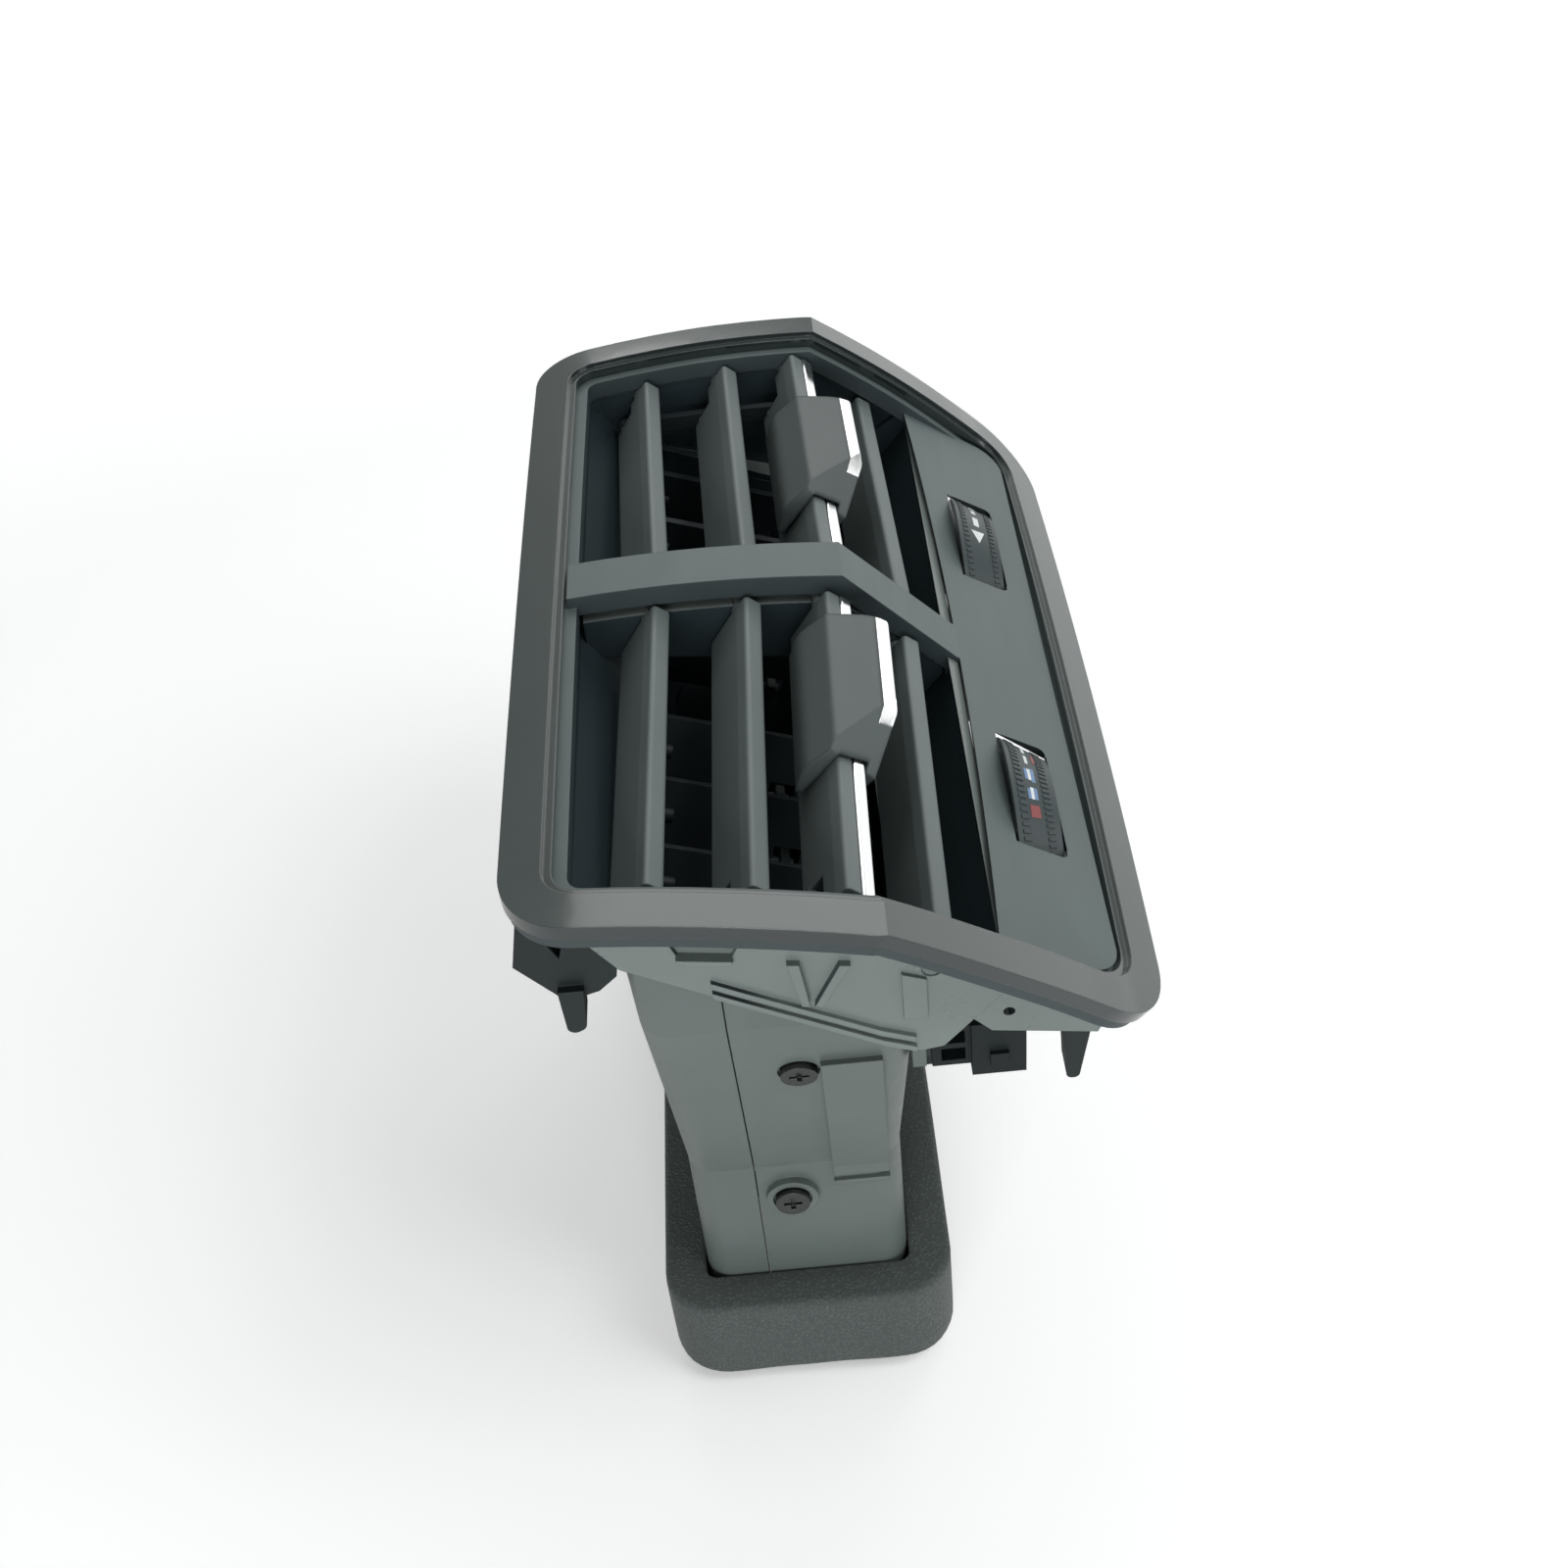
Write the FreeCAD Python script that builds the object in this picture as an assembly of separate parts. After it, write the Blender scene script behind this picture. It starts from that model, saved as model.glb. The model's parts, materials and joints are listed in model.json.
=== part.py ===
import FreeCAD, Part
import math
import os

# Rear console air vent: a bent, crowned face frame round two louvred outlets
# and a small control panel, on a louvre box and a tapering duct that stands
# on its mouth. Millimetres. X runs down the face towards the control panel,
# Y runs across the vent and is its mirror direction, Z is the duct axis.
# The origin is the centre of the duct mouth.

V = FreeCAD.Vector
os.makedirs("parts", exist_ok=True)

# Face: a left and a right half that meet in a ridge
overall_width = 170.0
half_span = 0.5 * overall_width
ridge_x = 18.0
ridge_z = 138.4
crown_radius = 1500.0
left_slope = 7.0
left_radius = 220.0
right_slope = 33.0
right_radius = 240.0
left_run = 54.5
right_run = 55.5
left_corner = 12.0
right_corner = 15.0
right_plane = 39.5
side_break = 22.0
left_break_draw = 2.7
left_end_draw = 7.6
right_break_draw = 1.8
right_end_draw = 6.4
ridge_flat = 1.5

# Frame and moulded faceplate
bezel_thickness = 2.6
bezel_face = 6.4
bezel_lip = 1.4
lip_drop = 0.9
seat_gap = 0.1
plate_inset = 0.5
plate_thickness = 2.0
throat_inset = 8.3
throat_wall = 1.5
throat_depth = 6.0
bar_width = 9.6
bar_drop = 0.6
bar_depth = 4.4

# Control panel with the two wheel slots
panel_slope = 32.0
panel_x = ridge_x + 26.7
panel_z = ridge_z - 25.5
panel_thickness = 2.0
panel_left = ridge_x + 18.8
panel_bow = 1250.0
panel_end = ridge_x + 40.0
slot_y = 35.3
slot_length = 26.2
slot_width = 8.0
slot_corner = 1.2

# Thumbwheels
wheel_radius = 21.4
wheel_width = 7.3
wheel_proud = 5.9
wheel_centre_z = panel_z + wheel_proud - wheel_radius
wheel_wall = 2.0
wheel_axle = 2.5
running_gap = 0.06
crank_radius = 12.0
crank_pin = 1.6

# Louvre box
box_wall = 1.5
box_gap = 0.2
floor_thickness = 1.5
louvre_noses = [
    (ridge_x - 31.4, ridge_z - 4.0),
    (ridge_x - 16.05, ridge_z - 3.7),
    (ridge_x - 2.6, ridge_z - 3.9),
    (ridge_x + 9.8, ridge_z - 14.8),
]
louvre_tilt = 39.5
louvre_chord = 12.0
louvre_nose = 3.4
louvre_back = 1.4
louvre_pivot = 4.0
pivot_radius = 1.5
inner_gap = 1.3
outlet_centre = 0.5 * (half_span - throat_inset - 0.1)
trim_louvre = len(louvre_noses) - 2
trim_width = 2.4
link_offset = 10.0
link_pin = 1.0
link_width = 3.2
link_thickness = 1.6
link_y = half_span - 18.2
clear_gap = 0.35
end_gap = 0.85

# Slider knobs
knob_length = 31.4
knob_far_shift = -1.5
knob_near_shift = -7.2
knob_chamfer = 11.5
knob_corner = 5.0
slide_gap = 0.35

# Vanes behind the louvres
vane_count = 4
vane_gap = 9.5
vane_thickness = 1.4
vane_pin = 1.4
vane_per_travel = 3.0
vane_axis_slope = 20.0
vane_axis_x = ridge_x - 17.0
vane_axis_z = ridge_z - 32.5
vane_low_x = ridge_x - 36.3
vane_high_x = ridge_x - 0.6
vane_top = 6.3
vane_foot = 7.3
vane_pin_end = 22.6
link_drop = 5.4
link_end = 1.8

# Duct
duct_wall = 1.8
mouth_x = 18.5
mouth_y = half_span - 24.0
waist_z = 55.0
seam_left = (ridge_x - 39.2, ridge_z - 18.6)
seam_right = (ridge_x + 4.3, ridge_z - 36.8)
duct_shoulder = ridge_z - 34.4
duct_top_y = half_span - 13.2
split_x = -7.0
split_gap = 0.2
duct_corner = 5.0
screw_high_x = 3.0
screw_high_z = ridge_z - 49.4
screw_low_x = -1.0
screw_low_z = waist_z - 8.0
tongue_thickness = 1.4
tongue_half = 3.0
foam_thickness = 8.0
foam_bottom = 3.0
foam_height = 21.0

# Shut-off flaps
flap_y = 0.5 * (mouth_y - duct_wall) + 1.0
flap_tip_gap = 2.6
flap_half = flap_y - flap_tip_gap
flap_z = ridge_z - 48.4 - flap_half
flap_side_gap = 0.7
flap_width = 2 * (mouth_x - duct_wall - flap_side_gap)
flap_corner = 6.0
flap_thickness = 2.2
flap_axle = 3.0
flap_closing = 84.0
tie_lever_x = mouth_x + 5.7
rod_lever_x = mouth_x + 12.3
lever_thickness = 2.0
lever_width = 6.4
lever_gap = 0.4
tie_radius = 10.0
axle_end = rod_lever_x + lever_thickness

# Wheel carriers, connector and clips
strip_half = 4.0
strip_left = panel_x - 6.3
strip_right = panel_x + 4.9
strip_thickness = 1.4
cross_thickness = 1.6
cross_gap = 2.4
carrier_low = wheel_centre_z - wheel_radius - cross_gap - cross_thickness
connector_length = 9.1
connector_width = 11.0
connector_height = 12.6
connector_x = panel_x - 13.1
connector_y = slot_y + 11.7
connector_z = ridge_z - 67.4
clip_y = half_span - 21.0
clip_thickness = 2.2
clip_gap = 0.3
skirt_y = half_span - 11.0
skirt_thickness = 1.6
skirt_hole = 0.9


def export(name, *shapes):
    """Write one node; several separate solids go in together."""
    shape = shapes[0] if len(shapes) == 1 else Part.makeCompound(list(shapes))
    solids = shape.Solids
    shape = solids[0] if len(solids) == 1 else Part.makeCompound(solids)
    shape.exportStep("parts/" + name + ".step")


def turned(shape, centre, axis, angle):
    copy = shape.copy()
    copy.rotate(centre, axis, angle)
    return copy


def moved(shape, x, y, z):
    copy = shape.copy()
    copy.translate(V(x, y, z))
    return copy


def mirrored(shape):
    """The same piece on the other side of the middle plane."""
    return shape.mirror(V(0, 0, 0), V(0, 1, 0))


def rounded(points, radii):
    """Closed flat wire through corner points, each corner with its own radius."""
    count = len(points)
    entry = []
    edges = []
    for index, point in enumerate(points):
        radius = radii[index] if isinstance(radii, (list, tuple)) else radii
        here = V(point[0], point[1], 0)
        back = V(points[index - 1][0], points[index - 1][1], 0) - here
        ahead = V(points[(index + 1) % count][0], points[(index + 1) % count][1], 0) - here
        back.normalize()
        ahead.normalize()
        if radius <= 0:
            entry.append((here, here))
            continue
        half = 0.5 * math.acos(max(-1.0, min(1.0, back.dot(ahead))))
        reach = radius / math.tan(half)
        middle = back + ahead
        middle.normalize()
        centre = here + middle * (radius / math.sin(half))
        start = here + back * reach
        end = here + ahead * reach
        edges.append(Part.Arc(start, centre - middle * radius, end).toShape())
        entry.append((start, end))
    for index in range(count):
        start = entry[index - 1][1]
        end = entry[index][0]
        if start.distanceToPoint(end) > 1e-6:
            edges.append(Part.makeLine(start, end))
    return Part.Wire(Part.__sortEdges__(edges))


def prism(points, radii, low, high):
    """Upright prism over a flat outline in X and Y."""
    face = Part.Face(rounded(points, radii))
    solid = face.extrude(V(0, 0, high - low))
    solid.translate(V(0, 0, low))
    return solid


def side_prism(points, radii, low, high):
    """Prism along Y over an outline in X and Z."""
    solid = prism(points, radii, -high, -low)
    solid.rotate(V(0, 0, 0), V(1, 0, 0), 90)
    return solid


def end_prism(points, radii, low, high):
    """Prism along X over an outline in Y and Z."""
    solid = prism(points, radii, low, high)
    solid.rotate(V(0, 0, 0), V(1, 1, 1), 120)
    return solid


def block(x0, x1, y0, y1, z0, z1):
    return Part.makeBox(x1 - x0, y1 - y0, z1 - z0, V(x0, y0, z0))


def from_ridge(points):
    """Places in X and Z that are given to the right of the ridge and below it."""
    return [(ridge_x + right, ridge_z - down) for right, down in points]


wide = overall_width
sky = ridge_z + 12.0


# The curved face

def arc_centre(side):
    slope = math.radians(left_slope if side == "left" else right_slope)
    radius = left_radius if side == "left" else right_radius
    return ridge_x - radius * math.sin(slope), ridge_z - radius * math.cos(slope), radius


def face_point(side, run, depth):
    """Point on the middle section of the face, a run from the ridge, below the surface."""
    x, z, radius = arc_centre(side)
    if side == "left":
        angle = math.radians(left_slope) - run / radius
    else:
        angle = math.radians(right_slope) + run / radius
    reach = radius - depth
    return V(x + reach * math.sin(angle), 0, z + reach * math.cos(angle))


def ridge_point(depth):
    """Where the two offset arcs of the face meet."""
    ax, az, ar = arc_centre("left")
    bx, bz, br = arc_centre("right")
    ar -= depth
    br -= depth
    gap = math.hypot(bx - ax, bz - az)
    along = (ar * ar - br * br + gap * gap) / (2 * gap)
    rise = math.sqrt(ar * ar - along * along)
    ux = (bx - ax) / gap
    uz = (bz - az) / gap
    first = V(ax + ux * along - uz * rise, 0, az + uz * along + ux * rise)
    second = V(ax + ux * along + uz * rise, 0, az + uz * along - ux * rise)
    return first if first.z > second.z else second


def slab(top, bottom, left=75.0, right=75.0):
    """Crowned layer of the face between two depths."""
    def arc(side, run, depth, flip):
        start = ridge_point(depth)
        end = face_point(side, run, depth)
        middle = face_point(side, run * 0.5, depth)
        points = (end, middle, start) if flip else (start, middle, end)
        return Part.Arc(*points).toShape()

    edges = [
        arc("left", left, top, True),
        arc("right", right, top, False),
        Part.makeLine(face_point("right", right, top), face_point("right", right, bottom)),
        arc("right", right, bottom, True),
        arc("left", left, bottom, False),
        Part.makeLine(face_point("left", left, bottom), face_point("left", left, top)),
    ]
    profile = Part.Face(Part.Wire(edges))
    centre = V(0, 0, ridge_z - crown_radius)
    half = math.degrees(math.asin((half_span + 15.0) / crown_radius))
    profile.rotate(centre, V(1, 0, 0), -half)
    return profile.revolve(centre, V(1, 0, 0), 2 * half)


def half_outline(inset, run, corner, break_draw, end_draw):
    """Mirror-symmetric outline of one half of the face, drawn from the ridge outward."""
    half = 0.5 * overall_width - inset
    mid_width = 0.5 * overall_width - break_draw
    end_width = 0.5 * overall_width - end_draw
    end = run - inset
    slope = (mid_width - end_width) / (run - side_break)
    wide = mid_width - inset
    end_half = wide - slope * (end - side_break)
    points = [
        (-60.0, half),
        (ridge_flat, half),
        (side_break, wide),
        (end, end_half),
        (end, -end_half),
        (side_break, -wide),
        (ridge_flat, -half),
        (-60.0, -half),
    ]
    radius = max(corner - inset, 2.5)
    return points, [0, 0, 300, radius, radius, 300, 0, 0]


def right_edge(inset, depth):
    """Lower end of the inset column in the middle section, at a depth."""
    plane = math.radians(right_plane)
    x, z, radius = arc_centre("right")
    reach = radius - depth
    along = right_run - inset - (x - ridge_x) * math.cos(plane) + (z - ridge_z) * math.sin(plane)
    angle = plane + math.asin(along / reach)
    return V(x + reach * math.sin(angle), 0, z + reach * math.cos(angle))


def ridge_half(side):
    """Half space on one side of the ridge's mitre plane."""
    start = -2 * wide if side == "left" else 0.0
    solid = Part.makeBox(2 * wide, 2 * wide, 2 * wide, V(start, -wide, -wide))
    solid.rotate(V(0, 0, 0), V(0, 1, 0), 0.5 * (left_slope + right_slope))
    solid.translate(V(ridge_x, 0, ridge_z))
    return solid


def column(inset, up=8.0, down=-40.0):
    """Bent column with the outline of the face, inset all round."""
    points, radii = half_outline(inset, left_run, left_corner, left_break_draw, left_end_draw)
    left = prism(points, radii, down, up)
    left.rotate(V(0, 0, 0), V(0, 0, 1), 180)
    left.translate(V(ridge_x, 0, ridge_z))
    points, radii = half_outline(
        inset, right_run, right_corner, right_break_draw, right_end_draw)
    right = prism(points, radii, down, up)
    right.rotate(V(0, 0, 0), V(0, 1, 0), right_plane)
    right.translate(V(ridge_x, 0, ridge_z))
    return left.common(ridge_half("left")).fuse(right.common(ridge_half("right")))


def plan_left(inset, low, high):
    """Upright prism of the left outline, run on past the ridge for the louvre box."""
    points, radii = half_outline(inset, left_run, left_corner, left_break_draw, left_end_draw)
    solid = prism(points, radii, low, high)
    solid.rotate(V(0, 0, 0), V(0, 0, 1), 180)
    solid.translate(V(ridge_x, 0, 0))
    return solid


outer_column = column(0.0)
face_column = column(bezel_face)
lip_column = column(bezel_face + bezel_lip)

bezel_ring = slab(0.0, bezel_thickness).common(outer_column.cut(face_column))
lip_ring = slab(lip_drop, bezel_thickness).common(column(bezel_face - 0.4).cut(lip_column))
bezel = bezel_ring.fuse(lip_ring).removeSplitter()
export("bezel", bezel)


# Faceplate: flange, throat wall, middle bar and control panel in one moulding

plate_top = bezel_thickness + seat_gap
plate_bottom = plate_top + plate_thickness
throat_outer = column(throat_inset)
throat_inner = column(throat_inset + throat_wall)
flange = slab(plate_top, plate_bottom).common(column(plate_inset).cut(throat_inner))
throat = slab(plate_top, throat_depth).common(throat_outer.cut(throat_inner))


def panel_height(x):
    return panel_z - (x - panel_x) * math.tan(math.radians(panel_slope))


def panel_edge(y):
    """X of the panel's bowed left edge."""
    return panel_left - (panel_bow - math.sqrt(panel_bow ** 2 - y ** 2))


def panel_solid(thickness, sink=0.0):
    """Sloping panel plate inside the throat, with its bowed left edge."""
    start = panel_left - 6.8
    points = [
        (start, panel_height(start) - sink),
        (panel_end, panel_height(panel_end) - sink),
        (panel_end, panel_height(panel_end) - sink - thickness),
        (start, panel_height(start) - sink - thickness),
    ]
    plate = side_prism(points, 0, -half_span, half_span)
    left = V(panel_edge(half_span), -half_span, 0)
    right = V(panel_edge(half_span), half_span, 0)
    far_right = V(panel_end + 20.0, half_span, 0)
    far_left = V(panel_end + 20.0, -half_span, 0)
    edges = [
        Part.Arc(left, V(panel_left, 0, 0), right).toShape(),
        Part.makeLine(right, far_right),
        Part.makeLine(far_right, far_left),
        Part.makeLine(far_left, left),
    ]
    outline = Part.Face(Part.Wire(edges)).extrude(V(0, 0, 2 * wide))
    outline.translate(V(0, 0, panel_z - wide))
    return plate.common(outline)


panel = panel_solid(panel_thickness).common(column(throat_inset + 0.3, 8.0, -60.0))

bar_half = 0.5 * bar_width
bar_left = slab(bar_drop, bar_depth).common(throat_outer)
bar_left = bar_left.common(block(ridge_x - wide, ridge_x - 0.2, -bar_half, bar_half, 0, 2 * sky))
bar_top = ridge_point(bar_drop)
bar_low = ridge_point(bar_depth)
bar_foot = panel_height(panel_left)
bar_right = side_prism([
    (ridge_x - 3.0, bar_top.z - 0.25),
    (bar_top.x, bar_top.z),
    (panel_left - 0.6, bar_foot + 0.5),
    (panel_left + 1.0, bar_foot - 0.8),
    (panel_left + 1.0, bar_foot - 2.8),
    (panel_left - 2.0, bar_foot - 2.6),
    (bar_low.x, bar_low.z),
    (ridge_x - 3.0, bar_low.z + 0.25),
], 0, -bar_half, bar_half)


def wheel_sweep(side, clearance):
    """Room for a thumbwheel, with a clearance all round."""
    left = panel_x - 0.5 * wheel_width - clearance
    right = panel_x + 0.5 * wheel_width + clearance
    fall = math.tan(math.radians(panel_slope))
    reach = clearance / math.cos(math.radians(panel_slope))
    cone = Part.makeCone(
        wheel_radius + reach + clearance * fall,
        wheel_radius + reach - (wheel_width + clearance) * fall,
        right - left, V(left, side * slot_y, wheel_centre_z), V(1, 0, 0))
    return cone


slot_half = 0.5 * slot_length
slots = []
for side in (-1, 1):
    middle = side * slot_y
    x0 = panel_x - 0.5 * slot_width
    x1 = panel_x + 0.5 * slot_width
    slots.append(prism([
        (x0, middle - slot_half),
        (x1, middle - slot_half),
        (x1, middle + slot_half),
        (x0, middle + slot_half),
    ], slot_corner, panel_z - 22.0, panel_z + 17.0))
    slots.append(wheel_sweep(side, 0.5))

faceplate = flange.fuse([throat, panel, bar_left, bar_right]).cut(Part.makeCompound(slots))


# Louvre box: walls with the outline of the face, open to the duct below

box_inset = throat_inset - 0.3
box_top = throat_depth + box_gap
seam_slope = (seam_right[1] - seam_left[1]) / (seam_right[0] - seam_left[0])


def seam_height(x, rise=0.0):
    """Height of the joint line between louvre box and duct."""
    return seam_left[1] + (x - seam_left[0]) * seam_slope + rise


def half_width(x, box=False):
    """Half width of the face at a place along X, or of the box, which doesn't narrow again."""
    run = ridge_x - x
    if run < -ridge_flat and not box:
        along = -run / math.cos(math.radians(right_plane))
        draw = (along - ridge_flat) * right_break_draw / (side_break - ridge_flat)
        return 0.5 * overall_width - draw
    if run < ridge_flat:
        return 0.5 * overall_width
    if run < side_break:
        draw = (run - ridge_flat) * left_break_draw / (side_break - ridge_flat)
        return 0.5 * overall_width - draw
    draw = (run - side_break) * (left_end_draw - left_break_draw) / (left_run - side_break)
    return 0.5 * overall_width - left_break_draw - draw


box_low = ridge_z - 58.0
slope_top = (-44.6, 11.6)
slope_foot = (-39.2, 18.6)
box_outer = plan_left(box_inset, box_low, sky).common(side_prism(from_ridge([
    (-47.0, -12.0),
    (-47.0, 8.9),
    slope_top,
    slope_foot,
    (4.3, 36.8),
    (7.6, 36.2),
    (18.4, 23.4),
    (18.4, -12.0),
]), 0, -wide, wide))
low_left = seam_left[0] + 0.7
low_right = seam_right[0] + 0.3
inner_outline = from_ridge([(-45.0, -12.0), (-45.0, 8.6), (-43.4, 10.7)])
inner_outline += [
    (low_left, seam_height(low_left, floor_thickness)),
    (low_right, seam_height(low_right, floor_thickness)),
]
inner_outline += from_ridge([(6.6, 35.0), (16.7, 23.2), (16.7, -12.0)])
box_inner = plan_left(box_inset + box_wall, box_low, sky).common(
    side_prism(inner_outline, 0, -wide, wide))
mouth_cut = side_prism(from_ridge([
    (-38.3, 58.4),
    (-38.3, 13.4),
    (2.2, 26.4),
    (2.2, 58.4),
]), 0, -(duct_top_y - duct_wall), duct_top_y - duct_wall)
middle_outline = from_ridge([
    (-44.2, -12.0),
    (-44.2, 9.8),
    (-41.6, 12.9),
    (-8.0, 16.9),
    (5.5, 28.9),
    (11.5, 28.8),
    (16.0, 23.4),
])
middle_outline += [
    (ridge_x + 16.0, bar_foot - 2.2),
    (bar_low.x, bar_low.z - 0.2),
    (ridge_x - 4.0, sky),
]
middle_wall = side_prism(middle_outline, 0, -bar_half + 0.2, bar_half - 0.2)
middle_wall = middle_wall.cut(slab(-30.0, bar_depth + 0.2))
bar_seat = block(panel_left - 3.0, panel_left + 3.0, -bar_half - 0.2, bar_half + 0.2, bar_foot - 3.2, sky)
face_cut = slab(-30.0, box_top)
panel_cut = panel_solid(-40.0, panel_thickness + 0.6)
box_shell = box_outer.cut(face_cut).cut(panel_cut)
box_shell = box_shell.cut(box_inner).cut(mouth_cut)


def wall_layer(points, outside, inside):
    """Layer of both long outer walls of the louvre box, within an outline in X and Z."""
    skin = plan_left(box_inset - outside, box_low, sky).cut(plan_left(box_inset + inside, box_low, sky))
    far = skin.common(side_prism(points, 0, 0.5 * half_span, wide))
    return [far, mirrored(far)]


rib_start = ridge_x - 26.0
rib_end = ridge_x + 3.4
details = []
for low in (0.4, 2.6):
    details += wall_layer([
        (rib_start, seam_height(rib_start, low)),
        (rib_end, seam_height(rib_end, low)),
        (rib_end, seam_height(rib_end, low + 1.1)),
        (rib_start, seam_height(rib_start, low + 1.1)),
    ], 0.8, 0.5)
for outline, height in (
    ([(-14.6, 15.9), (-12.8, 15.9), (-11.8, 24.8), (-13.0, 24.8)], 1.2),
    ([(-7.0, 15.9), (-5.4, 15.9), (-10.0, 25.0), (-11.1, 24.8)], 1.2),
    ([(1.8, 18.9), (5.4, 20.4), (5.4, 28.8), (1.8, 28.8)], 0.6),
    ([(-30.6, 15.4), (-22.2, 15.4), (-22.6, 16.4), (-30.2, 16.4)], 1.0),
):
    details += wall_layer(from_ridge(outline), height, 0.5)
pockets = wall_layer(from_ridge([(-31.4, 13.0), (-21.2, 13.0), (-22.4, 15.4), (-30.4, 15.4)]), 0.5, 0.9)

skirts = []
for side in (-1, 1):
    faces = sorted((side * skirt_y, side * (skirt_y + skirt_thickness)))
    plate = side_prism(from_ridge([
        (6.2, 35.8),
        (11.0, 31.0),
        (15.0, 35.4),
        (31.0, 38.0),
        (33.0, 33.4),
        (15.0, 20.4),
        (6.6, 26.4),
    ]), 0, faces[0], faces[1])
    hole = Part.makeCylinder(
        skirt_hole, 8, V(ridge_x + 17.6, side * (skirt_y - 3.0), ridge_z - 31.4), V(0, side, 0))
    skirts.append(plate.cut(hole))


# Each outlet's louvres, drawn straight for the far outlet, then leaned into
# the bow and crown of the face; the near outlet is its mirror image

tilt = math.radians(louvre_tilt)
lean = math.degrees(math.asin(outlet_centre / crown_radius))
lean_point = V(ridge_x - 10.0, outlet_centre, ridge_z - 8.4)


def leaned(shape):
    copy = shape.copy()
    copy.rotate(lean_point, V(1, 0, 0), -lean)
    copy.rotate(lean_point, V(0, 0, 1), lean)
    return copy


def blade_point(index, across, deep):
    """X and Z of a place in a louvre's section: across the blade and into the outlet."""
    nose = louvre_noses[index]
    x = nose[0] + across * math.cos(tilt) - deep * math.sin(tilt)
    z = nose[1] - across * math.sin(tilt) - deep * math.cos(tilt)
    return x, z


def blade_prism(index, outline, radii, low, high):
    points = [blade_point(index, across, deep) for across, deep in outline]
    return side_prism(points, radii, low, high)


def blade_rod(index, deep, radius, low, high):
    x, z = blade_point(index, 0.0, deep)
    return Part.makeCylinder(radius, high - low, V(x, low, z), V(0, 1, 0))


inner_end = bar_half + inner_gap
holes = []
notches = []
half_nose = 0.5 * louvre_nose
half_back = 0.5 * louvre_back
for index in range(len(louvre_noses)):
    pivot_x = blade_point(index, 0.0, louvre_pivot)[0]
    wall_y = half_width(pivot_x, True) - box_inset - box_wall
    swing_left = pivot_x - louvre_pivot + 1.4
    swing_right = louvre_noses[index][0] + 1.4
    narrowest = min(half_width(swing_left), half_width(swing_right))
    outer_end = narrowest - throat_inset - throat_wall - end_gap
    blade = blade_prism(index, [
        (-half_nose, 0.0),
        (half_nose, 0.0),
        (half_nose, 2.8),
        (half_back, louvre_chord),
        (-half_back, louvre_chord),
        (-half_nose, 2.8),
    ], [0.7, 0.7, 0, 0.4, 0.4, 0], inner_end, outer_end)
    notch = blade_prism(index, [(-6, 6), (6, 6), (6, 20), (-6, 20)], 0, link_y - 0.4, wide)
    if index == trim_louvre:
        seat = blade_prism(index, [(0.8, -3), (9, -3), (9, 2.4), (0.8, 2.4)], 0, 0, wide)
        blade = blade.cut(seat)
    blade = blade.cut(notch).fuse([
        blade_rod(index, louvre_pivot, pivot_radius, bar_half - 2.4, inner_end + 1.5),
        blade_rod(index, louvre_pivot, pivot_radius, outer_end - 1.5, wall_y + 1.2),
        blade_rod(index, link_offset, link_pin, link_y - 1.6, link_y + link_thickness + 0.6),
    ])
    blade = leaned(blade)
    export("louvre_far_" + str(index + 1), blade)
    export("louvre_near_" + str(index + 1), mirrored(blade))
    bore = pivot_radius + running_gap
    holes.append(leaned(blade_rod(index, louvre_pivot, bore, bar_half - 2.8, bar_half + 3)))
    holes.append(leaned(blade_rod(index, louvre_pivot, bore, wall_y - 2, wall_y + 3)))
    room = pivot_radius + clear_gap
    notches.append(leaned(blade_rod(index, louvre_pivot, room, wall_y - 1, wall_y + 1.6)))
notches += [mirrored(notch) for notch in notches]
faceplate = faceplate.cut(Part.makeCompound(notches)).removeSplitter()
export("faceplate", faceplate)
near_half = box_shell.fuse(middle_wall).common(block(-wide, wide, -wide, 0, 0, 2 * sky))
for hole in holes:
    near_half = near_half.cut(mirrored(hole))
upper_housing = near_half.fuse([mirrored(near_half)] + details + skirts)
upper_housing = upper_housing.cut(
    [face_cut, panel_cut, panel_solid(panel_thickness + 0.6), bar_seat] + pockets)
upper_housing = upper_housing.removeSplitter()
export("upper_housing", upper_housing)

bar = []
for index in range(len(louvre_noses)):
    bar.append(blade_rod(index, link_offset, 0.5 * link_width, link_y, link_y + link_thickness))
    if index:
        start = blade_point(index - 1, 0.0, link_offset)
        end = blade_point(index, 0.0, link_offset)
        gap = math.hypot(end[0] - start[0], end[1] - start[1])
        share = 0.5 * link_width / gap
        dx = (end[1] - start[1]) * share
        dz = (end[0] - start[0]) * share
        bar.append(side_prism([
            (start[0] - dx, start[1] + dz),
            (end[0] - dx, end[1] + dz),
            (end[0] + dx, end[1] - dz),
            (start[0] + dx, start[1] - dz),
        ], 0, link_y, link_y + link_thickness))
link = bar[0].fuse(bar[1:])
for index in range(len(louvre_noses)):
    link = link.cut(blade_rod(index, link_offset, link_pin + running_gap, 0, wide))
link = leaned(link.removeSplitter())
export("louvre_link_far", link)
export("louvre_link_near", mirrored(link))

trim_end = half_width(blade_point(trim_louvre, 0, 0)[0]) - box_inset - box_wall - 1.6
strip = blade_prism(trim_louvre, [
    (0.9, -0.3),
    (0.9 + trim_width, -0.3),
    (0.9 + trim_width, 2.3),
    (0.9, 2.3),
], [0.5, 0.5, 0.3, 0], inner_end, trim_end)
strip = leaned(strip)
export("louvre_trim_far", strip)
export("louvre_trim_near", mirrored(strip))


# Slider knob: a hooked section that runs on the trimmed louvre

knob_front = 6.9
knob_right = 5.0


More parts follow.
